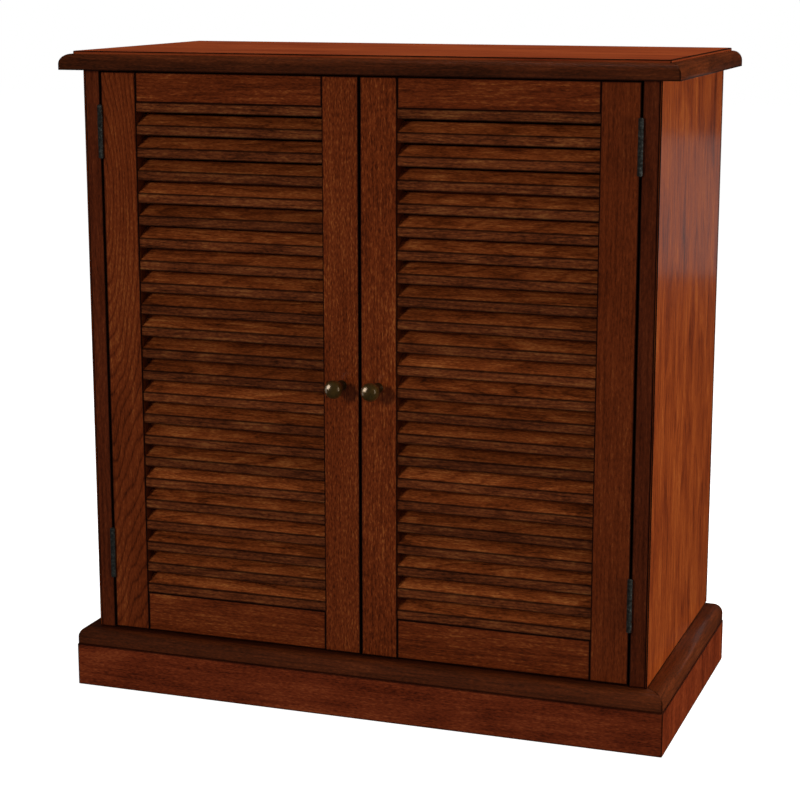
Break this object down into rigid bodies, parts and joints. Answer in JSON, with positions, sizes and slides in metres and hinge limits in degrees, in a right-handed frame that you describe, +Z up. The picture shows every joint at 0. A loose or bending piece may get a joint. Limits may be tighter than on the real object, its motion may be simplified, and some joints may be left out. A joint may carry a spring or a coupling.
{
  "type": "shoe cabinet",
  "caption": "Low free-standing shoe cabinet in stained hardwood with louvred hinged doors, round knobs, inner shelves on pins, moulded top and plinth.",
  "frame": {"origin": "on the floor, at the centre of the box that holds the whole cabinet, knobs included", "axes": "+X to the right seen from the front, +Y to the rear, +Z up"},
  "size_m": [0.8128, 0.424, 0.857],
  "materials": {
    "top_wood": "red-brown stain, satin lacquer",
    "moulding_wood": "red-brown stain, satin lacquer",
    "side_wood": "red-brown stain, satin lacquer",
    "frame_wood": "red-brown stain, satin lacquer",
    "slat_wood": "red-brown stain, satin lacquer",
    "back_ply": "stained plywood",
    "inner_wood": "stained, thin lacquer",
    "dowel_wood": "bare",
    "hinge_steel": "blackened, satin",
    "knob_bronze": "dark antique bronze, satin",
    "plated_steel": "zinc plated",
    "screw_steel": "blackened",
    "catch_plastic": "moulded",
    "magnet_steel": "sintered",
    "bumper_rubber": "clear grey"
  },
  "bodies": {
    "cabinet": {"back_panel": "back_ply", "back_panel_nails": "screw_steel", "base_moulding_front": "moulding_wood", "base_moulding_left": "moulding_wood", "base_moulding_right": "moulding_wood", "base_rail_rear": "inner_wood", "bottom_panel": "inner_wood", "carcass_dowels": "dowel_wood", "catch_housings": "catch_plastic", "catch_magnets": "magnet_steel", "catch_screws": "screw_steel", "corner_blocks": "inner_wood", "front_stile_left": "frame_wood", "front_stile_right": "frame_wood", "hinge_frame_leaves": "hinge_steel", "hinge_frame_screws": "screw_steel", "hinge_pins": "hinge_steel", "plinth_front": "moulding_wood", "plinth_left": "moulding_wood", "plinth_rear": "moulding_wood", "plinth_right": "moulding_wood", "shelf_1": "inner_wood", "shelf_2": "inner_wood", "shelf_3": "inner_wood", "shelf_4": "inner_wood", "shelf_pins": "plated_steel", "side_panel_left": "side_wood", "side_panel_right": "side_wood", "stretcher_front": "inner_wood", "stretcher_rear": "inner_wood", "top_moulding_front": "moulding_wood", "top_moulding_left": "moulding_wood", "top_moulding_right": "moulding_wood", "top_panel": "top_wood", "top_screws": "screw_steel"},
    "left_door": {"left_door_bottom_rail": "frame_wood", "left_door_bumpers": "bumper_rubber", "left_door_hinge_stile": "frame_wood", "left_door_lock_stile": "frame_wood", "left_door_slats": "slat_wood", "left_door_top_rail": "frame_wood", "left_hinge_door_leaves": "hinge_steel", "left_hinge_door_screws": "screw_steel", "left_knob": "knob_bronze", "left_knob_screw": "screw_steel", "left_strike_plate": "plated_steel", "left_strike_screw": "screw_steel"},
    "right_door": {"right_door_bottom_rail": "frame_wood", "right_door_bumpers": "bumper_rubber", "right_door_hinge_stile": "frame_wood", "right_door_lock_stile": "frame_wood", "right_door_slats": "slat_wood", "right_door_top_rail": "frame_wood", "right_hinge_door_leaves": "hinge_steel", "right_hinge_door_screws": "screw_steel", "right_knob": "knob_bronze", "right_knob_screw": "screw_steel", "right_strike_plate": "plated_steel", "right_strike_screw": "screw_steel"}
  },
  "joints": [
    {"name": "left_door_hinge", "type": "hinge", "parent": "cabinet", "child": "left_door", "pos_m": [-0.357, -0.1744, 0.4706], "axis": [0, 0, -1], "range_deg": [0, 180]},
    {"name": "right_door_hinge", "type": "hinge", "parent": "cabinet", "child": "right_door", "pos_m": [0.357, -0.1744, 0.4706], "axis": [0, 0, 1], "range_deg": [0, 180]}
  ]
}
